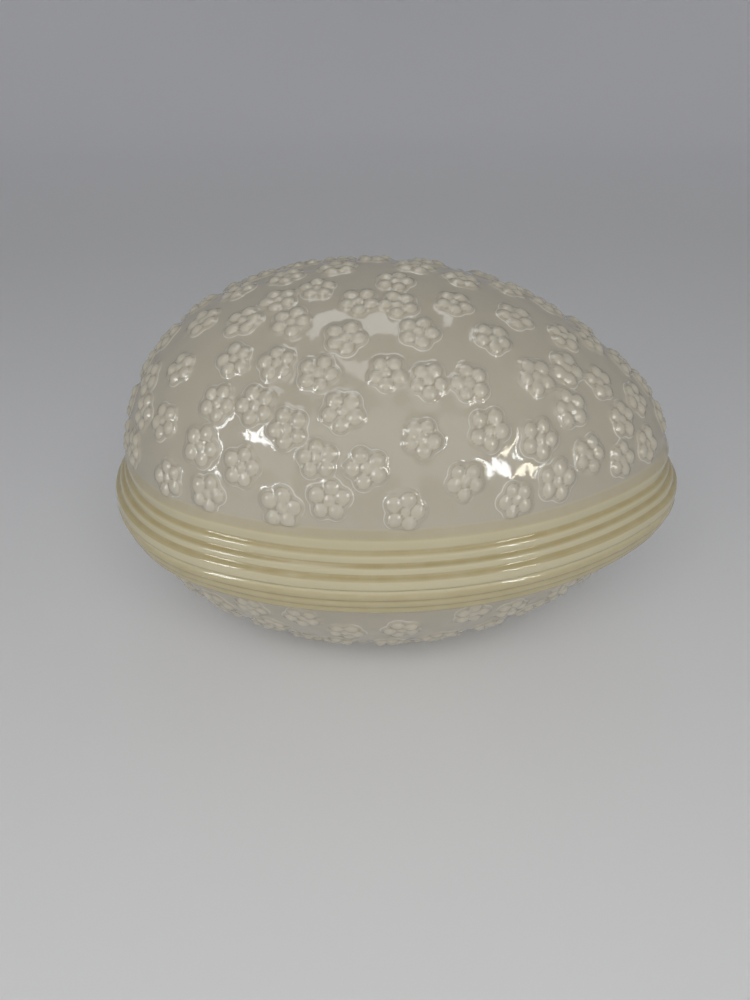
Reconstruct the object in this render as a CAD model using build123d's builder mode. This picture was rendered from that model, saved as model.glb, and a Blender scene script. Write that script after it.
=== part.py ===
"""Egg-shaped porcelain trinket box lying on its side: a lift-off lid on a base.

Millimetres, +Z up, +X from the blunt end to the pointed end.
The origin is under the middle of the box, on the surface it stands on.
"""

from math import atan2, degrees, sqrt
import os

from build123d import *

# ---- driving dimensions ----
egg_length = 120.0  # the egg body, without its ribbed rim
blunt_radius = 39.9
point_radius = 26.6
side_radius = 80.5
wall = 3.0

seam_height = 40.0  # the flat joint between the base and the lid
axis_above_seam = 3.4  # the egg's long axis lies a little above the joint

# Creases between the ribs of the rim, from the top down, as (how far the crease stands out
# from the egg's plan outline, its height above the seam). The lid's ribs are stepped: a
# shoulder slopes out from each crease to a nose, and a steep face drops to the next crease.
lid_creases = [(-1.3, 10.2), (0.0, 6.9), (1.0, 4.75), (2.2, 3.05), (3.4, 0.4)]
lid_noses = [(0.1, 9.1), (0.9, 6.15), (2.0, 4.25), (3.2, 2.35)]
face_bulge = 0.1
base_creases = [(3.3, -0.4), (2.7, -2.6), (1.9, -4.8), (0.8, -7.0)]
base_bulge = 0.5
rim_edge = 0.4  # the two pieces' edges are eased by this much at the seam
lid_band_root = [(-2.4, 10.2), (-2.4, 0.0)]  # inner side of the ribs, buried in the wall
base_band_root = [(-2.4, 0.0), (-3.9, -10.5)]

lip_height = 2.8  # raised lip of the base that centres the lid
lip_outer = -1.2
lip_inner = -3.4
lip_root = 1.5  # how far the lip is rooted below the seam
lip_clearance = 0.5
lip_chamfer = 0.5

foot_length = 46.0
foot_width = 30.0
foot_thickness = 2.6
foot_centre_x = -5.0
foot_root = 4.8  # the foot ring runs up this far, into the bottom wall

# ---- worked out from the driving dimensions ----
axis_height = seam_height + axis_above_seam
blunt_x = blunt_radius - egg_length / 2
point_x = egg_length / 2 - point_radius
blunt_reach = side_radius - blunt_radius
point_reach = side_radius - point_radius
centre_gap = point_x - blunt_x
side_from_blunt = (blunt_reach**2 - point_reach**2 + centre_gap**2) / (2 * centre_gap)
side_x = blunt_x + side_from_blunt
side_depth = sqrt(blunt_reach**2 - side_from_blunt**2)
blunt_turn = degrees(atan2(side_depth, blunt_x - side_x))
point_turn = degrees(atan2(side_depth, point_x - side_x))


def egg_arcs(grow):
    """Draw one side of the egg, three tangent arcs grown outwards, in the open BuildLine."""
    CenterArc((blunt_x, 0), blunt_radius + grow, 180, blunt_turn - 180)
    CenterArc((side_x, -side_depth), side_radius + grow, blunt_turn, point_turn - blunt_turn)
    CenterArc((point_x, 0), point_radius + grow, point_turn, -point_turn)


def plan_outline(grow, height):
    """The egg's plan outline, grown outwards, as a face at a height."""
    with BuildSketch(Plane.XY.offset(height)) as plan:
        with BuildLine():
            egg_arcs(grow)
            mirror(about=Plane.XZ)
        make_face()
    return plan.sketch


def egg_body(grow):
    """The whole egg, grown outwards, as a body of revolution about its long axis."""
    with BuildPart() as egg:
        with BuildSketch(Plane.XY.offset(axis_height)):
            with BuildLine():
                egg_arcs(grow)
                Line((egg_length / 2 + grow, 0), (-egg_length / 2 - grow, 0))
            make_face()
        revolve(axis=Axis((0, 0, axis_height), (1, 0, 0)))
    return egg.part


def stepped_ribs():
    """Draw the lid's rib section in the open BuildLine."""
    for crease, nose, below in zip(lid_creases, lid_noses, lid_creases[1:]):
        Line(crease, nose)
        SagittaArc(nose, below, face_bulge)


def rounded_ribs():
    """Draw the base's rib section in the open BuildLine."""
    for upper, lower in zip(base_creases, base_creases[1:]):
        SagittaArc(upper, lower, base_bulge)


def ribbed_band(draw_ribs, closing_points):
    """A ring of ribs swept round the egg's plan outline.

    Its section is the drawn ribs, closed along the points through the seam and the wall.
    """
    blunt_end = Plane(origin=(-egg_length / 2, 0, seam_height), x_dir=(-1, 0, 0), z_dir=(0, 1, 0))
    with BuildPart() as band:
        with BuildLine(Plane.XY.offset(seam_height)) as path:
            egg_arcs(0)
            mirror(about=Plane.XZ)
        with BuildSketch(blunt_end):
            with BuildLine():
                draw_ribs()
                Polyline(*closing_points)
            make_face()
        sweep(path=path.wire())
    return band.part


# ---- lid ----
with BuildPart() as lid:
    add(egg_body(0))
    add(egg_body(-wall), mode=Mode.SUBTRACT)
    split(bisect_by=Plane.XY.offset(seam_height), keep=Keep.TOP)
    lid_corner = (lid_creases[-1][0] - rim_edge, 0)
    add(
        ribbed_band(
            stepped_ribs,
            [lid_creases[-1], lid_corner, *reversed(lid_band_root), lid_creases[0]],
        )
    )
    extrude(
        plan_outline(lip_outer + lip_clearance, seam_height),
        amount=lip_height + lip_clearance,
        mode=Mode.SUBTRACT,
    )

# ---- base ----
with BuildPart() as base:
    add(egg_body(0))
    add(egg_body(-wall), mode=Mode.SUBTRACT)
    split(bisect_by=Plane.XY.offset(seam_height), keep=Keep.BOTTOM)
    base_corner = (base_creases[0][0] - rim_edge, 0)
    add(
        ribbed_band(
            rounded_ribs,
            [base_creases[-1], *reversed(base_band_root), base_corner, base_creases[0]],
        )
    )
    with BuildSketch(Plane.XY.offset(seam_height - lip_root)) as lip_section:
        add(plan_outline(lip_outer, 0))
        add(plan_outline(lip_inner, 0), mode=Mode.SUBTRACT)
    extrude(amount=lip_root + lip_height)
    lip_top = base.faces().sort_by(Axis.Z)[-1]
    chamfer(lip_top.edges(), length=lip_chamfer)
    with BuildSketch(Plane.XY) as foot_section:
        with Locations((foot_centre_x, 0)):
            Ellipse(foot_length / 2, foot_width / 2)
            Ellipse(
                foot_length / 2 - foot_thickness,
                foot_width / 2 - foot_thickness,
                mode=Mode.SUBTRACT,
            )
    extrude(amount=foot_root)

lid.part.label = "lid"
base.part.label = "base"

os.makedirs("parts", exist_ok=True)
export_step(lid.part, "parts/lid.step")
export_step(base.part, "parts/base.step")
print(f"lid {lid.part.volume / 1000:.1f} cm3, base {base.part.volume / 1000:.1f} cm3")
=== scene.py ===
import math

import bmesh
import bpy
import numpy as np
from mathutils import Matrix, Vector


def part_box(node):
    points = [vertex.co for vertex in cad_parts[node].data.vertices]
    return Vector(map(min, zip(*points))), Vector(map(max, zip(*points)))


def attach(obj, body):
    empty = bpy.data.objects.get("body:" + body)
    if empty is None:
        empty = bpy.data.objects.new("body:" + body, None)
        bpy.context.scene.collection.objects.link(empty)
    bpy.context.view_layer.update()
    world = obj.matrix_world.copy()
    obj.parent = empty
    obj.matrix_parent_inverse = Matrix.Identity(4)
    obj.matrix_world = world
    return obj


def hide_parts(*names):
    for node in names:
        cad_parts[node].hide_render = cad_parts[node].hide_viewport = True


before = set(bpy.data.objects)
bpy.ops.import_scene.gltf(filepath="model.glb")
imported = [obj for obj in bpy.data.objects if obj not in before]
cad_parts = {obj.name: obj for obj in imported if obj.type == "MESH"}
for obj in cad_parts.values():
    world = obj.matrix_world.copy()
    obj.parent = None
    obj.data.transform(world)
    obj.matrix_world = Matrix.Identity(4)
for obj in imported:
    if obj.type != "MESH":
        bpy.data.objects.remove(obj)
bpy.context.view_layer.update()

# An egg-shaped porcelain trinket box: a lid and a base, each one glazed shell with raised
# flowers, a ribbed cream rim and a smooth inside. The shells are worked out in millimetres on
# the frame's axes and scaled to metres when the meshes are made.

lid_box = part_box("lid")
base_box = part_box("base")
METRE = 0.001

# ---- the egg: one plan outline of arcs, turned about its long axis ----
SEAM = lid_box[0][2] / METRE  # height of the flat joint between lid and base
RIB_STAND = 3.5  # how far the widest rib stands out from the egg at either end
EGG_LENGTH = (base_box[1][0] - base_box[0][0]) / METRE - 2 * RIB_STAND
BLUNT_RADIUS = 0.3325 * EGG_LENGTH
POINT_RADIUS = 0.2217 * EGG_LENGTH
SIDE_RADIUS = 0.6708 * EGG_LENGTH
WALL = 3.0
AXIS = SEAM + 3.4  # height of the egg's long axis

blunt_x = BLUNT_RADIUS - EGG_LENGTH / 2
point_x = EGG_LENGTH / 2 - POINT_RADIUS
blunt_reach = SIDE_RADIUS - BLUNT_RADIUS
point_reach = SIDE_RADIUS - POINT_RADIUS
arc_gap = point_x - blunt_x
side_x = blunt_x + (blunt_reach**2 - point_reach**2 + arc_gap**2) / (2 * arc_gap)
side_depth = math.sqrt(blunt_reach**2 - (side_x - blunt_x) ** 2)
blunt_turn = math.atan2(side_depth, blunt_x - side_x)
point_turn = math.atan2(side_depth, point_x - side_x)
EGG_RADIUS = SIDE_RADIUS - side_depth
EGG_CENTRE = np.array([side_x, 0.0, AXIS])
SQUEEZE = np.array([EGG_LENGTH / (2 * EGG_RADIUS), 1.0, 1.0])  # a ball stretched to the egg

# ---- rim: points are (stand-out from the plan outline, height above the seam) ----
LID_CREASES = [(-0.62, 11.0), (-0.05, 6.9), (0.9, 4.75), (2.2, 3.05), (3.4, 0.4)]
LID_NOSES = [(0.08, 9.4), (0.87, 6.15), (2.0, 4.25), (3.2, 2.35)]  # where shoulder meets face
BASE_CREASES = [(3.3, -0.4), (2.7, -2.6), (1.9, -4.8), (0.8, -7.0)]
BASE_BULGE = 0.5
FIRST_SHOULDER_GLAZE = 0.4  # share of yellow glaze above the first nose, where it thins out
BASE_RIB_SHADE = 0.6  # least share of ochre over the base's ribs: painted shade, as they face down and get less light
LID_EDGE = 11.4  # height where the rim's mesh ends and the dome's begins
BASE_EDGE = -9.6
BASE_SLOPE = (-2.7, BASE_EDGE)  # end, inside the egg, of the slope under the last rib
LIP_TOP = 2.8
LIP_OUTER = -1.2
LIP_INNER = -3.4
LIP_CHAMFER = 0.5
REBATE_SIDE = -0.7
REBATE_TOP = 3.3
SEAM_ROUND = 0.4  # how far the corner at the seam is rounded over
BARE_INSET = 0.9  # the seam's face is left unglazed from here inwards
ROUNDING = 0.22  # how far the glaze softens every corner of the rim

# ---- foot ring ----
FOOT_X = -5.0
FOOT_HALF = np.array([23.0, 15.0])
FOOT_WIDTH = 2.6
FOOT_FILLET = 1.3  # how far the foot flares out where it meets the egg

# ---- flowers ----
PETALS = 5
PETAL_RING = 2.3
PETAL_RADIUS = 1.37
PETAL_HEIGHT = 0.8
CENTRE_RADIUS = 1.02
CENTRE_HEIGHT = 0.7
HOLLOW_HEIGHT = 0.18  # the glaze between the petals
PAD_HEIGHT = 0.12
PAD_REACH = 0.45  # how far a flower's pad of glaze reaches past its petals
SWELL_HEIGHT = 0.12  # the glaze swells up gently towards each flower
FAR = 2.8  # distance marked where there is no flower near
FLOWER_REACH = 7.0
LID_FLOWER_GAP = 7.4  # no open spot is further than this from a flower's centre
BASE_FLOWER_GAP = 7.8
FLOWER_MARGIN = 3.5  # least distance from a flower's centre to the rim or the foot

CLAY_WAVE = 0.09  # slight unevenness of the whole surface

# ---- mesh density ----
LID_COLUMNS = 1024
BASE_COLUMNS = 640
LID_RIM_ROWS = 68
BASE_RIM_ROWS = 66
BOWL_ROWS = 84
MARKS = ("relief", "petal_gap", "pearl", "cream", "pool", "bare")


# ---------------------------------------------------------------- the egg's surface

def egg_distance(points, grow=0.0):
    """Distance outside the egg's surface, grown outwards, and the outward direction."""
    across = np.maximum(np.hypot(points[:, 1], points[:, 2] - AXIS), 1e-9)
    turn = np.arctan2(across + side_depth, points[:, 0] - side_x)
    blunt = turn > blunt_turn
    point = turn < point_turn
    arc_x = np.where(blunt, blunt_x, np.where(point, point_x, side_x))
    arc_depth = np.where(blunt | point, 0.0, side_depth)
    radius = np.where(blunt, BLUNT_RADIUS, np.where(point, POINT_RADIUS, SIDE_RADIUS))
    along = points[:, 0] - arc_x
    out = across + arc_depth
    length = np.hypot(along, out)
    radial = out / length / across
    normal = np.stack([along / length, radial * points[:, 1], radial * (points[:, 2] - AXIS)], 1)
    return length - radius - grow, normal


def march(start, way, grow=0.0):
    """Where lines from the start points meet the egg's surface, grown outwards."""
    reach = np.zeros(len(start))
    for _ in range(16):
        distance, normal = egg_distance(start + way * reach[:, None], grow)
        reach -= distance / np.maximum((normal * way).sum(1), 0.2)
    return start + way * reach[:, None]


def unit(vectors):
    """Vectors scaled to length 1."""
    return vectors / np.linalg.norm(vectors, axis=-1, keepdims=True)


def cast(ball, grow=0.0):
    """Points on the egg from directions on the ball that it is stretched from."""
    way = unit(ball * SQUEEZE)
    return march(EGG_CENTRE + way * 0.8 * EGG_RADIUS, way, grow)


def ball_direction(points):
    """Directions on the ball that the egg is stretched from, for points on the egg."""
    return unit((points - EGG_CENTRE) / SQUEEZE)


def plan_outline(azimuth):
    """Points of the egg's plan outline, at the axis height, and their outward directions."""
    points = cast(np.stack([np.cos(azimuth), np.sin(azimuth), 0 * azimuth], 1))
    return points, egg_distance(points)[1]


def ring_azimuth(columns):
    """Evenly spaced azimuths, starting at a corner of the square grid that caps a ring."""
    return -math.pi / 4 + 2 * math.pi * np.arange(columns) / columns


def egg_ring(azimuth, height, grow=0.0):
    """A level ring on the egg, at a height above the seam."""
    outline, normal = plan_outline(azimuth)
    outline[:, 2] = SEAM + height
    return march(outline, normal, grow)


# ---------------------------------------------------------------- small helpers

def smooth_max(a, b, blend):
    return 0.5 * (a + b + np.sqrt((a - b) ** 2 + blend**2))


def smooth_step(low, high, value):
    t = np.clip((value - low) / (high - low), 0.0, 1.0)
    return t * t * (3 - 2 * t)


class Waves:
    """A smooth random field between about -1 and 1, from a few plane waves."""

    def __init__(self, seed, wavelength, count=12):
        rng = np.random.default_rng(seed)
        lengths = wavelength * rng.uniform(0.7, 1.5, (count, 1))
        self.turn = unit(rng.normal(size=(count, 3))) * 2 * math.pi / lengths
        self.phase = rng.uniform(0, 2 * math.pi, count)

    def at(self, points):
        return np.sin(points @ self.turn.T + self.phase).sum(1) / math.sqrt(len(self.phase))


# ---------------------------------------------------------------- flowers

class Flowers:
    """Raised flowers of five round petals and a centre, scattered where they are allowed."""

    def __init__(self, seed, allowed, widest_gap):
        rng = np.random.default_rng(seed)
        places = cast(unit(rng.normal(size=(16000, 3))))
        self.centre = self.scatter(rng, places[allowed(places)], widest_gap)
        shape = self.centre.shape
        count = len(self.centre)
        self.normal = egg_distance(self.centre)[1]
        self.side = unit(np.cross(self.normal, rng.normal(size=shape)))
        self.up = np.cross(self.normal, self.side)
        self.scale = rng.uniform(0.93, 1.06, count)
        turn = 2 * math.pi * np.arange(PETALS) / PETALS + rng.normal(0, 0.06, (count, PETALS))
        ring = PETAL_RING * rng.normal(1, 0.035, (count, PETALS))
        petals = np.stack([ring * np.cos(turn), ring * np.sin(turn)], 2)
        middles = rng.normal(0, 0.12, (count, 1, 2))
        self.bumps = np.concatenate([petals, middles], 1)
        self.radius = np.array([PETAL_RADIUS] * PETALS + [CENTRE_RADIUS])
        self.radius = self.radius * rng.normal(1, 0.04, (count, PETALS + 1))
        self.height = np.array([PETAL_HEIGHT] * PETALS + [CENTRE_HEIGHT])
        self.height = self.height * rng.normal(1, 0.07, (count, PETALS + 1))

    @staticmethod
    def scatter(rng, places, widest_gap):
        """Keeps adding a place well away from the others until no wide gap is left."""
        kept = [places[0]]
        nearest = np.linalg.norm(places - kept[0], axis=1)
        while nearest.max() > widest_gap:
            chosen = places[np.argmax(nearest * rng.uniform(0.9, 1, len(places)))]
            kept.append(chosen)
            nearest = np.minimum(nearest, np.linalg.norm(places - chosen, axis=1))
        return np.array(kept)

    def relief(self, points):
        """Height of the flowers at each point, and the distance to the nearest petal."""
        total = np.zeros(len(points))
        gap = np.full(len(points), FAR)
        for i, centre in enumerate(self.centre):
            offset = points - centre
            near = np.nonzero((offset**2).sum(1) < FLOWER_REACH**2)[0]
            flat = np.stack([offset[near] @ self.side[i], offset[near] @ self.up[i]], 1)
            flat /= self.scale[i]
            top = np.full(len(near), -9.0)
            edge = np.full(len(near), 9.0)
            for bump, radius, height in zip(self.bumps[i], self.radius[i], self.height[i]):
                away = np.linalg.norm(flat - bump, axis=1)
                ball = height * np.sqrt(np.maximum(1 - (away / radius) ** 2, 0))
                top = smooth_max(top, ball, 0.04)
                edge = -smooth_max(-edge, radius - away, 0.5)
            swell = SWELL_HEIGHT * np.clip(1 - np.maximum(edge, 0) / FAR, 0, 1) ** 2
            pad = PAD_HEIGHT * smooth_step(PAD_REACH + 0.3, PAD_REACH - 0.3, edge)
            hollow = (HOLLOW_HEIGHT - PAD_HEIGHT) * smooth_step(0.3, -0.5, edge)
            bloom = np.where(edge < PAD_REACH, smooth_max(top, pad + hollow, 0.08), pad)
            total[near] = np.maximum(total[near], bloom + swell)
            gap[near] = np.minimum(gap[near], edge)
        return total, gap


# ---------------------------------------------------------------- meshes

class Shell:
    """A closed mesh made ring by ring, with marks for its material at each vertex."""

    def __init__(self):
        self.points = []
        self.marks = {name: [] for name in MARKS}
        self.faces = []
        self.count = 0

    def add(self, points, **marks):
        """Adds vertices and returns their indices."""
        self.points.append(points)
        for name, stored in self.marks.items():
            stored.append(np.broadcast_to(marks.get(name, 0.0), len(points)))
        self.count += len(points)
        return np.arange(self.count - len(points), self.count)

    def bridge(self, upper, lower):
        """Faces between two rings of equal length, or one with twice the other's."""
        if len(upper) == len(lower):
            block = np.stack([upper, np.roll(upper, -1), np.roll(lower, -1), lower], 1)
            self.faces.extend(block.tolist())
            return
        fine, coarse = (upper, lower) if len(upper) > len(lower) else (lower, upper)
        first, middle, last = fine[0::2], fine[1::2], np.roll(fine, -2)[0::2]
        after = np.roll(coarse, -1)
        for corners in ((first, middle, coarse), (middle, after, coarse), (middle, last, after)):
            self.faces.extend(np.stack(corners, 1).tolist())

    def chain(self, rings):
        for upper, lower in zip(rings, rings[1:]):
            self.bridge(upper, lower)

    def cap(self, boundary, surface):
        """Closes a ring with a square grid laid on a disc.

        surface(radius, azimuth) gives the points and their marks; the boundary is radius 1.
        """
        side = len(boundary) // 4
        steps = np.linspace(-1, 1, side + 1)
        a, b = (grid.ravel() for grid in np.meshgrid(steps, steps, indexing="ij"))
        radius = np.maximum(np.abs(a), np.abs(b))
        small = np.minimum(np.abs(a), np.abs(b)) / np.maximum(radius, 1e-9) * math.pi / 4
        first_octant = np.where(np.abs(a) >= np.abs(b), small, math.pi / 2 - small)
        azimuth = np.arctan2(np.sin(first_octant) * np.sign(b), np.cos(first_octant) * np.sign(a))
        azimuth = np.where(b == 0, np.where(a < 0, math.pi, 0.0), azimuth)
        azimuth = np.where(a == 0, np.sign(b) * math.pi / 2, azimuth)
        inner = radius < 1 - 1e-9
        index = np.empty(len(a), int)
        points, marks = surface(radius[inner], azimuth[inner])
        index[inner] = self.add(points, **marks)
        column = (azimuth[~inner] + math.pi / 4) / (2 * math.pi) * len(boundary)
        index[~inner] = boundary[np.round(column).astype(int) % len(boundary)]
        grid = index.reshape(side + 1, side + 1)
        block = np.stack([grid[:-1, :-1], grid[1:, :-1], grid[1:, 1:], grid[:-1, 1:]], 2)
        self.faces.extend(block.reshape(-1, 4).tolist())

    def build(self, name, material):
        mesh = bpy.data.meshes.new(name)
        mesh.from_pydata((np.concatenate(self.points) * METRE).tolist(), [], self.faces)
        for mark, stored in self.marks.items():
            values = np.concatenate(stored).astype(np.float32)
            mesh.attributes.new(mark, "FLOAT", "POINT").data.foreach_set("value", values)
        mesh.materials.append(material)
        bm = bmesh.new()
        bm.from_mesh(mesh)
        bmesh.ops.recalc_face_normals(bm, faces=bm.faces)
        for face in bm.faces:
            face.smooth = True
        bm.to_mesh(mesh)
        bm.free()
        piece = bpy.data.objects.new(name, mesh)
        bpy.context.scene.collection.objects.link(piece)
        return piece


# ---------------------------------------------------------------- profiles of the rim

def bulged(start, end, bulge, pool_start, end_pool_and_shade):
    """A shallow curve standing out from the line between two points, with its ochre of pooled
    glaze and painted shade.

    The last two arguments are the shares of the curve that the ochre at its start and end covers;
    at the foot of a lid face this ochre is painted shade.
    """
    start, end = np.array(start), np.array(end)
    chord = end - start
    out = np.array([-chord[1], chord[0]]) / np.hypot(*chord)
    t = np.linspace(0, 1, 25)[:-1, None]
    points = start + t * chord + 4 * bulge * t * (1 - t) * out
    tiny = 1e-6
    pool = np.maximum(smooth_step(pool_start + tiny, 0.75 * pool_start, t),
                      smooth_step(1 - end_pool_and_shade - tiny, 1, t))
    return np.hstack([points, pool])


def lid_ribs():
    """Stepped ribs: under each crease a sloping shoulder, a rounded nose and a steep face."""
    parts = []
    for crease, nose, below in zip(LID_CREASES, LID_NOSES, LID_CREASES[1:]):
        # The foot of each face, in the corner above the next shoulder, is marked ochre as painted
        # shade.
        end_pool_and_shade = 0.15 if below != LID_CREASES[-1] else 0.0
        parts.append(bulged(crease, nose, -0.04, 1.0, 0.0))
        parts.append(bulged(nose, below, 0.1, 0.0, end_pool_and_shade))
    return np.concatenate(parts)


def base_ribs():
    """Plain rounded ribs, from the lowest crease up to the seam."""
    parts = []
    for crease, above in zip(BASE_CREASES[::-1], BASE_CREASES[-2::-1]):
        end_pool_and_shade = 0.25 if above != BASE_CREASES[0] else 0.0
        parts.append(bulged(crease, above, -BASE_BULGE, 0.15, end_pool_and_shade))
    return np.concatenate(parts)


def marked(points, cream, bare):
    """Profile points with their shares of pooled and cream glaze and of bare porcelain."""
    points = np.array(points, float)
    if points.shape[1] == 2:
        points = np.column_stack([points, np.zeros(len(points))])
    return np.column_stack([points, np.full(len(points), cream), np.full(len(points), bare)])


def soften(profile, rows):
    """Rounds a profile's corners and respaces it, with rows closer together at the bends."""
    step = 0.02
    along = np.hypot(*np.diff(profile[:, :2], axis=0).T)
    along = np.concatenate([[0], np.cumsum(along)])
    even = np.arange(0, along[-1], step)
    dense = np.column_stack([np.interp(even, along, column) for column in profile.T])
    half = int(3 * ROUNDING / step)
    kernel = np.exp(-0.5 * (np.arange(-half, half + 1) * step / ROUNDING) ** 2)
    kernel /= kernel.sum()
    padded = np.pad(dense[:, :2], ((half, half), (0, 0)), mode="reflect", reflect_type="odd")
    shape = [np.convolve(column, kernel, mode="valid") for column in padded.T]
    dense = np.column_stack([*shape, dense[:, 2:]])
    slope = np.gradient(dense[:, :2], axis=0)
    turn = np.unwrap(np.arctan2(slope[:, 1], slope[:, 0]))
    weight = step / 1.1 + np.abs(np.gradient(turn)) * 1.6
    share = np.concatenate([[0], np.cumsum(weight[1:])])
    share = share / share[-1] * (rows - 1)
    return np.column_stack([np.interp(np.arange(rows), share, column) for column in dense.T])


def lid_profile():
    """From the egg above the ribs down to the seam, across it and up inside."""
    stand, height = LID_CREASES[-1]
    wall = LIP_INNER + 0.35
    ribs = marked(lid_ribs(), 1, 0)
    above_first_nose = ribs[:, 1] > LID_NOSES[0][1]
    ribs[above_first_nose, 3] = FIRST_SHOULDER_GLAZE
    return np.concatenate([
        marked([(-1.1, LID_EDGE)], 0, 0),
        ribs,
        marked([(stand, height), (stand - SEAM_ROUND, 0.0)], 1, 0),
        marked([(stand - BARE_INSET, 0.0), (REBATE_SIDE, 0.0)], 0, 1),
        marked([(REBATE_SIDE, REBATE_TOP), (wall, REBATE_TOP)], 0, 1),
        marked([(wall, REBATE_TOP + 0.4), (wall, REBATE_TOP + 1.2)], 0, 0),
    ])


def base_profile():
    """From the egg below the ribs up to the seam, over the lip and down inside."""
    stand, height = BASE_CREASES[0]
    ribs = marked(base_ribs(), 1, 0)
    # Painted shade: every base rib gets at least this much ochre, darkening the whole
    # downward-facing band.
    ribs[:, 2] = np.maximum(ribs[:, 2], BASE_RIB_SHADE)
    chamfer = [(LIP_OUTER, LIP_TOP - LIP_CHAMFER), (LIP_OUTER - LIP_CHAMFER, LIP_TOP)]
    return np.concatenate([
        marked([BASE_SLOPE], 0, 0),
        ribs,
        marked([(stand, height), (stand - SEAM_ROUND, 0.0)], 1, 0),
        marked([(stand - BARE_INSET, 0.0), (LIP_OUTER, 0.0)], 0, 1),
        marked(chamfer, 0, 1),
        marked([(LIP_INNER + 0.4, LIP_TOP), (LIP_INNER, LIP_TOP - 0.4)], 0, 0.4),
        marked([(LIP_INNER, LIP_TOP - 0.9), (LIP_INNER, -1.5)], 0, 0),
    ])


# ---------------------------------------------------------------- lid and base

clay = Waves(seed=5, wavelength=24.0)


def outer_finish(points, normal, flowers, edge):
    """Adds the flowers beyond the rim's edge, and a slight waviness away from the seam."""
    away = np.abs(points[:, 2] - SEAM)
    relief, gap = flowers.relief(points)
    open_egg = smooth_step(-0.8, 0.0, away - abs(edge))
    relief = relief * open_egg
    wave = CLAY_WAVE * clay.at(points) * smooth_step(0.5, 7.0, away)
    marks = {"relief": relief, "petal_gap": FAR + (gap - FAR) * open_egg}
    return points + normal * (relief + wave)[:, None], marks


def add_rim(shell, profile, edge, columns, inner_columns, flowers):
    """Rings along the rim's profile, coarser past the start of the bare seam face."""
    rings = []
    turning_in = np.argmax(profile[:, 4] > 0.5)
    for row, (stand, height, pool, cream, bare) in enumerate(profile):
        outside = row < turning_in
        outline, normal = plan_outline(ring_azimuth(columns if outside else inner_columns))
        outline[:, 2] = SEAM + height
        if not outside:
            rings.append(shell.add(outline + normal * stand, bare=bare, petal_gap=FAR))
            continue
        egg_stand = ((march(outline, normal) - outline) * normal).sum(1)
        stand = smooth_max(stand, egg_stand, 0.12)
        points, marks = outer_finish(outline + normal * stand[:, None], normal, flowers, edge)
        rings.append(shell.add(points, pearl=1 - cream, cream=cream, pool=pool, bare=bare,
                               **marks))
    shell.chain(rings)
    return rings


def dome_surface(height, pole, grow, finish):
    """Places a cap's grid over the egg from a level ring at a height up or down to its pole."""
    def surface(radius, azimuth):
        edge = ball_direction(egg_ring(azimuth, height, grow))
        level = 1 - radius**2 * (1 - pole * edge[:, 2])
        sideways = unit(edge[:, :2]) * np.sqrt(1 - level**2)[:, None]
        return finish(cast(np.column_stack([sideways, pole * level]), grow))
    return surface


def plain(points):
    return points, {"petal_gap": FAR}


def on_dome(points):
    return points[:, 2] > SEAM + LID_EDGE + 0.8 * FLOWER_MARGIN


def make_lid(material):
    flowers = Flowers(11, on_dome, LID_FLOWER_GAP)
    shell = Shell()
    rim = add_rim(shell, soften(lid_profile(), LID_RIM_ROWS), LID_EDGE,
                  LID_COLUMNS // 2, LID_COLUMNS // 4, flowers)

    def flowered(points):
        normal = egg_distance(points)[1]
        points, marks = outer_finish(points, normal, flowers, LID_EDGE)
        return points, {"pearl": 1.0, **marks}

    dome_edge = LID_EDGE + 0.3
    points, marks = flowered(egg_ring(ring_azimuth(LID_COLUMNS), dome_edge))
    top = shell.add(points, **marks)
    shell.bridge(top, rim[0])
    shell.cap(top, dome_surface(dome_edge, 1, 0.0, flowered))
    inner = REBATE_TOP + 1.8
    points, marks = plain(egg_ring(ring_azimuth(LID_COLUMNS // 4), inner, -WALL))
    ceiling = shell.add(points, **marks)
    shell.bridge(rim[-1], ceiling)
    shell.cap(ceiling, dome_surface(inner, 1, -WALL, plain))
    return shell.build("lid_porcelain", material)


def egg_underside(x, y):
    """Points on the lower side of the egg below a plan position."""
    start = np.column_stack([x, y, np.full(len(x), AXIS - 0.8 * EGG_RADIUS)])
    return march(start, np.tile([0.0, 0.0, -1.0], (len(x), 1)))


def foot_ellipse(azimuth, outset, radius=1.0):
    """Points on the egg under the foot ring's middle line, moved out by a distance."""
    half = (FOOT_HALF - FOOT_WIDTH / 2 + outset) * radius[:, None]
    return egg_underside(FOOT_X + half[:, 0] * np.cos(azimuth), half[:, 1] * np.sin(azimuth))


def foot_ring_at(columns, drop, side):
    """A ring on one side of the foot, a share of the way down from the egg to the table."""
    outset = side * (FOOT_WIDTH / 2 - 0.45 * drop**6 + FOOT_FILLET * (1 - drop) ** 4)
    points = foot_ellipse(ring_azimuth(columns), outset, np.ones(columns))
    points[:, 2] *= 1 - drop
    return points


def on_bowl(points):
    x, y, z = points.T
    half = FOOT_HALF + FOOT_FILLET + FLOWER_MARGIN
    clear = ((x - FOOT_X) / half[0]) ** 2 + (y / half[1]) ** 2 > 1
    return (z < SEAM + BASE_EDGE - 0.8 * FLOWER_MARGIN) & ((z > AXIS / 2) | clear)


def arc_between(start, end, share):
    """Unit vectors a share of the way round from the start vectors to the end ones."""
    angle = np.arccos((start * end).sum(1))[:, None]
    return (np.sin((1 - share) * angle) * start + np.sin(share * angle) * end) / np.sin(angle)


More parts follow.
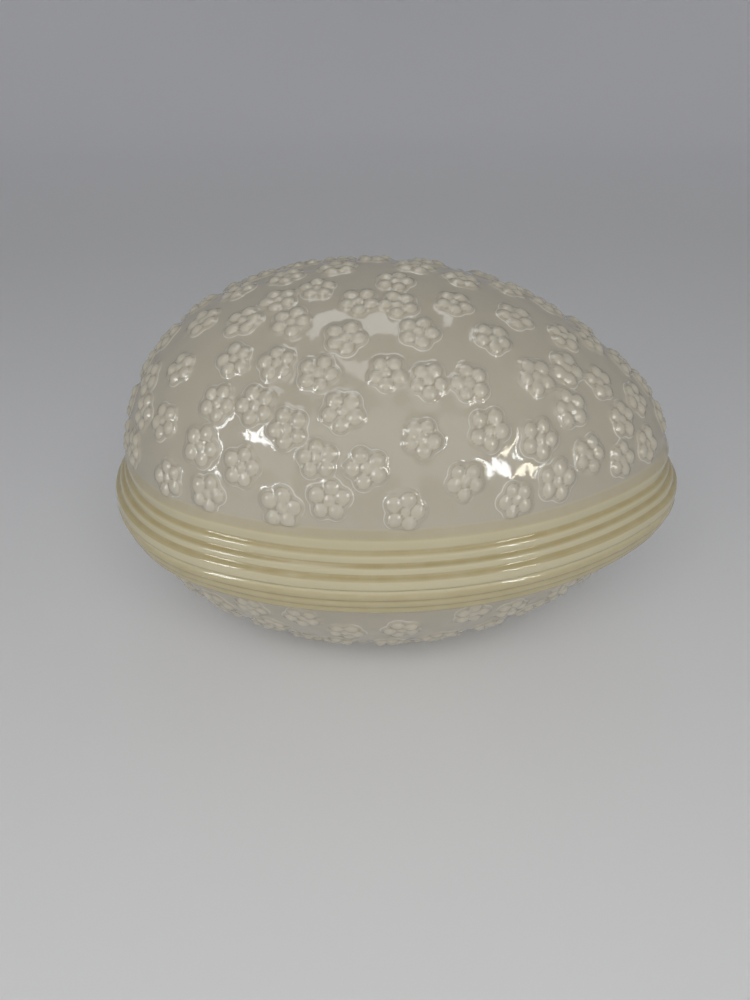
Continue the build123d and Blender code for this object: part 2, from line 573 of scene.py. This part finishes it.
def make_base(material):
    flowers = Flowers(23, on_bowl, BASE_FLOWER_GAP)
    shell = Shell()
    rim = add_rim(shell, soften(base_profile(), BASE_RIM_ROWS), BASE_EDGE,
                  BASE_COLUMNS, BASE_COLUMNS // 2, flowers)

    azimuth = ring_azimuth(BASE_COLUMNS)
    upper = ball_direction(egg_ring(azimuth, BASE_EDGE))
    lower = ball_direction(foot_ring_at(BASE_COLUMNS, 0.0, 1))
    rings = [rim[0]]
    for share in np.linspace(0, 1, BOWL_ROWS)[1:] ** 1.08:
        egg = cast(arc_between(upper, lower, share))
        points, marks = outer_finish(egg, egg_distance(egg)[1], flowers, BASE_EDGE)
        rings.append(shell.add(points, pearl=1.0, **marks))

    drops = np.array([0.1, 0.22, 0.4, 0.6, 0.8, 0.9, 0.96, 1.0])
    for drop in drops:
        rings.append(shell.add(foot_ring_at(BASE_COLUMNS // 2, drop, 1), pearl=1 - drop,
                               petal_gap=FAR, bare=smooth_step(0.93, 0.97, drop)))
    for drop in drops[::-1]:
        rings.append(shell.add(foot_ring_at(BASE_COLUMNS // 4, drop, -1), petal_gap=FAR,
                               bare=smooth_step(0.93, 0.97, drop)))
    rings.append(shell.add(foot_ring_at(BASE_COLUMNS // 4, 0.0, -1), petal_gap=FAR))
    shell.chain(rings)

    def recess_surface(radius, azimuth):
        return plain(foot_ellipse(azimuth, -FOOT_WIDTH / 2 - FOOT_FILLET, radius))

    shell.cap(rings[-1], recess_surface)
    floor_edge = -2.6
    points, marks = plain(egg_ring(ring_azimuth(BASE_COLUMNS // 2), floor_edge, -WALL))
    bowl = shell.add(points, **marks)
    shell.bridge(rim[-1], bowl)
    shell.cap(bowl, dome_surface(floor_edge, -1, -WALL, plain))
    return shell.build("base_porcelain", material)


# ---------------------------------------------------------------- materials

class Graph:
    """Short ways to wire a material's nodes into its Principled shader."""

    def __init__(self, name):
        self.material = bpy.data.materials.new(name)
        self.material.use_nodes = True
        self.tree = self.material.node_tree
        self.shader = self.tree.nodes["Principled BSDF"]
        self.place = self.tree.nodes.new("ShaderNodeTexCoord").outputs["Object"]

    def join(self, value, socket):
        if isinstance(value, bpy.types.NodeSocket):
            self.tree.links.new(value, socket)
        else:
            socket.default_value = value

    def mark(self, name):
        node = self.tree.nodes.new("ShaderNodeAttribute")
        node.attribute_name = name
        return node.outputs["Fac"]

    def math(self, operation, a, b=0.0):
        node = self.tree.nodes.new("ShaderNodeMath")
        node.operation = operation
        self.join(a, node.inputs[0])
        self.join(b, node.inputs[1])
        return node.outputs[0]

    def step(self, value, low, high, to_low=0.0, to_high=1.0):
        node = self.tree.nodes.new("ShaderNodeMapRange")
        node.interpolation_type = "SMOOTHSTEP"
        self.join(value, node.inputs["Value"])
        node.inputs["From Min"].default_value = low
        node.inputs["From Max"].default_value = high
        node.inputs["To Min"].default_value = to_low
        node.inputs["To Max"].default_value = to_high
        return node.outputs["Result"]

    def mix(self, share, a, b):
        node = self.tree.nodes.new("ShaderNodeMix")
        node.data_type = "RGBA"
        self.join(share, node.inputs[0])
        self.join(a, node.inputs[6])
        self.join(b, node.inputs[7])
        return node.outputs[2]

    def noise(self, size, detail=2.0):
        node = self.tree.nodes.new("ShaderNodeTexNoise")
        self.join(self.place, node.inputs["Vector"])
        node.inputs["Scale"].default_value = 1 / size
        node.inputs["Detail"].default_value = detail
        return node.outputs["Fac"]

    def bump(self, height, strength, distance):
        node = self.tree.nodes.new("ShaderNodeBump")
        node.inputs["Strength"].default_value = strength
        node.inputs["Distance"].default_value = distance
        self.join(height, node.inputs["Height"])
        self.join(node.outputs["Normal"], self.shader.inputs["Normal"])


def flower_glaze(graph, clouds, fine):
    """White petals, tan where glaze pools round them, painted shade in the creases between
    petals, and a painted highlight line at each pad's edge.
    """
    relief = graph.mark("relief")
    petal_gap = graph.mark("petal_gap")
    white = graph.mix(clouds, (0.485, 0.445, 0.355, 1), (0.53, 0.49, 0.395, 1))
    ground = graph.mix(clouds, (0.425, 0.385, 0.305, 1), (0.465, 0.425, 0.34, 1))
    uneven = graph.math("ADD", relief, graph.step(fine, 0.3, 0.7, -0.08, 0.08))
    pooled = graph.math("MULTIPLY", graph.mark("pearl"), graph.step(uneven, 0.15, 0.6, 1.0, 0.0))
    colour = graph.mix(pooled, white, ground)
    # Painted shade: the low creases between a flower's petals are darkened.
    crease = graph.math("MULTIPLY", graph.step(petal_gap, -0.2, 0.1, 0.6, 0.0),
                        graph.step(relief, 0.3, 0.5, 1.0, 0.0))
    colour = graph.mix(crease, colour, (0.33, 0.29, 0.22, 1))
    # Painted highlight: a thin light ring round each flower's pad, broken up by noise.
    inside_line = graph.step(petal_gap, PAD_REACH - 0.16, PAD_REACH)
    outside_line = graph.step(petal_gap, PAD_REACH, PAD_REACH + 0.16, 1.0, 0.0)
    painted_pad_highlight = graph.math("MULTIPLY", inside_line, outside_line)
    painted_pad_highlight = graph.math("MULTIPLY", painted_pad_highlight, graph.step(graph.noise(0.006), 0.42, 0.56, 0.0, 0.6))
    return graph.mix(painted_pad_highlight, colour, (0.70, 0.69, 0.62, 1))


def rib_glaze(graph, clouds, fine):
    """Cream yellow, and ochre where the glaze is thick, the ochre also standing in as painted
    shade on the base's ribs and at the foot of each lid face.
    """
    thin = graph.mix(clouds, (0.515, 0.462, 0.303, 1), (0.56, 0.507, 0.343, 1))
    thick_glaze_and_shade = graph.math("MULTIPLY", graph.mark("pool"), graph.step(fine, 0.25, 0.75, 0.75, 1.0))
    return graph.mix(thick_glaze_and_shade, thin, (0.40, 0.33, 0.165, 1))


def porcelain():
    """Glossy glaze over cream clay, and rough unglazed porcelain where it is left bare."""
    graph = Graph("pearl_glaze")
    clouds = graph.noise(0.022)
    fine = graph.noise(0.0035, 3.0)
    bare = graph.mark("bare")
    glaze = graph.mix(graph.mark("cream"), flower_glaze(graph, clouds, fine),
                      rib_glaze(graph, clouds, fine))
    biscuit = graph.mix(fine, (0.70, 0.67, 0.60, 1), (0.78, 0.75, 0.69, 1))
    graph.join(graph.mix(bare, glaze, biscuit), graph.shader.inputs["Base Color"])

    gloss = graph.math("ADD", graph.step(clouds, 0.3, 0.7, 0.05, 0.09),
                       graph.step(graph.mark("relief"), 0.3, 0.6, 0.0, 0.13))
    rough = graph.math("ADD", gloss, graph.math("MULTIPLY", bare, 0.45))
    graph.join(rough, graph.shader.inputs["Roughness"])
    graph.shader.inputs["IOR"].default_value = 1.55
    graph.shader.inputs["Subsurface Weight"].default_value = 0.12
    graph.shader.inputs["Subsurface Radius"].default_value = (1.0, 0.75, 0.5)
    graph.shader.inputs["Subsurface Scale"].default_value = 0.0015
    pad = graph.step(graph.mark("petal_gap"), PAD_REACH - 0.2, PAD_REACH + 0.2, 0.6, 0.0)
    ripple = graph.math("MULTIPLY", graph.noise(0.004), 0.5)
    graph.bump(graph.math("ADD", pad, ripple), 1.0, 0.0001)
    return graph.material


def table_paper():
    """Pale matt paper, painted lighter and slightly bluer with distance from the box out into the
    backdrop: painted light.
    """
    graph = Graph("table")
    tone_and_painted_light = graph.mix(graph.noise(0.25), (0.76, 0.76, 0.76, 1), (0.80, 0.80, 0.80, 1))
    away = graph.tree.nodes.new("ShaderNodeVectorMath")
    away.operation = "LENGTH"
    graph.join(graph.place, away.inputs[0])
    # Painted light: the paper brightens from near the box out to where it sweeps up into the
    # backdrop.
    tone_and_painted_light = graph.mix(graph.step(away.outputs["Value"], 0.25, 1.0), tone_and_painted_light, (0.90, 0.90, 0.92, 1))
    graph.join(tone_and_painted_light, graph.shader.inputs["Base Color"])
    graph.shader.inputs["Roughness"].default_value = 0.6
    return graph.material


# ---------------------------------------------------------------- studio

CAMERA_PLACE = np.array([1.1, -152.1, 127.9]) * METRE
CAMERA_PITCH = math.radians(32.6)
CAMERA_YAW = math.radians(2.2)
CAMERA_ROLL = math.radians(-0.3)
LONG_SIDE = 36.0
CAMERA_LENS = 27.04
SWEEP_START = 0.8  # radius in metres where the floor starts to curve up into a backdrop
SWEEP_RADIUS = 0.5
SWEEP_TOP = 1.5
WINDOW_RISE = 22  # degrees
WINDOW_DISTANCE = 0.85
WINDOW_HEIGHT = 0.36
WINDOW_POWER = 18  # watts for each metre of a window's width


def place_camera():
    data = bpy.data.cameras.new("camera")
    data.lens = CAMERA_LENS
    data.sensor_width = LONG_SIDE
    data.clip_start = 0.01
    camera = bpy.data.objects.new("camera", data)
    bpy.context.scene.collection.objects.link(camera)
    turn = Matrix.Rotation(CAMERA_YAW, 4, "Z")
    tilt = Matrix.Rotation(math.pi / 2 - CAMERA_PITCH, 4, "X")
    roll = Matrix.Rotation(CAMERA_ROLL, 4, "Z")
    camera.matrix_world = Matrix.Translation(CAMERA_PLACE) @ turn @ tilt @ roll
    bpy.context.scene.camera = camera


def soft_light(name, azimuth, elevation, distance, size, power, colour=(1, 1, 1)):
    """A rectangular light aimed at the box, at angles in degrees seen from its middle.

    Distance and size are in metres and power in watts.
    """
    data = bpy.data.lights.new(name, "AREA")
    data.shape = "RECTANGLE"
    data.size, data.size_y = size
    data.energy = power
    data.color = colour
    light = bpy.data.objects.new(name, data)
    bpy.context.scene.collection.objects.link(light)
    turn, rise = math.radians(azimuth), math.radians(elevation)
    way = Vector((math.sin(turn) * math.cos(rise), -math.cos(turn) * math.cos(rise),
                  math.sin(rise)))
    light.location = way * distance + Vector((0, 0, SEAM * METRE))
    light.rotation_mode = "QUATERNION"
    light.rotation_quaternion = way.to_track_quat("Z", "Y")
    light.visible_camera = False
    return light


def make_backdrop():
    """A round floor whose edge sweeps up into a low wall."""
    rises = [math.pi / 2 * i / 12 for i in range(13)]
    profile = [(0.3, 0.0), (SWEEP_START, 0.0)]
    profile += [(SWEEP_START + SWEEP_RADIUS * math.sin(a), SWEEP_RADIUS * (1 - math.cos(a)))
                for a in rises[1:]]
    profile.append((SWEEP_START + SWEEP_RADIUS, SWEEP_TOP))
    around = 96
    points = [(radius * math.cos(2 * math.pi * i / around),
               radius * math.sin(2 * math.pi * i / around), height)
              for radius, height in profile for i in range(around)]
    faces = [tuple(range(around))]
    for row in range(len(profile) - 1):
        for i in range(around):
            j = (i + 1) % around
            faces.append((row * around + i, (row + 1) * around + i,
                          (row + 1) * around + j, row * around + j))
    mesh = bpy.data.meshes.new("floor")
    mesh.from_pydata(points, [], faces)
    mesh.polygons.foreach_set("use_smooth", [True] * len(faces))
    mesh.materials.append(table_paper())
    floor = bpy.data.objects.new("floor", mesh)
    bpy.context.scene.collection.objects.link(floor)


def make_studio():
    make_backdrop()
    world = bpy.data.worlds.new("room")
    bpy.context.scene.world = world
    world.use_nodes = True
    background = world.node_tree.nodes["Background"]
    background.inputs["Color"].default_value = (0.95, 0.97, 1.0, 1)
    background.inputs["Strength"].default_value = 0.185
    bpy.context.scene.view_settings.view_transform = "Standard"

    soft_light("room", -4, 36, 1.0, (1.7, 0.7), 2.6)
    soft_light("front", 2, 39, 0.42, (0.38, 0.25), 0.76).visible_glossy = False
    soft_light("back_fill", 180, 35, 1.1, (1.0, 0.5), 0.45).visible_glossy = False
    soft_light("ceiling", -50, 68, 1.3, (0.35, 0.5), 1.2).visible_diffuse = False
    soft_light("back_ceiling", 180, 75, 1.3, (0.9, 0.4), 3.0).visible_diffuse = False
    cool, warm = (0.95, 0.98, 1.0), (1.0, 0.93, 0.75)
    for azimuth, width, colour in ((-51, 0.05, cool), (-46, 0.04, cool), (44, 0.05, cool),
                                   (50, 0.03, warm)):
        window = soft_light(f"window_{azimuth}", azimuth, WINDOW_RISE, WINDOW_DISTANCE,
                            (width, WINDOW_HEIGHT), width * WINDOW_POWER, colour)
        window.visible_diffuse = False
    place_camera()


make_studio()
glaze = porcelain()
lid = make_lid(glaze)
base = make_base(glaze)
for piece, node in ((lid, "lid"), (base, "base")):
    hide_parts(node)
    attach(piece, node)
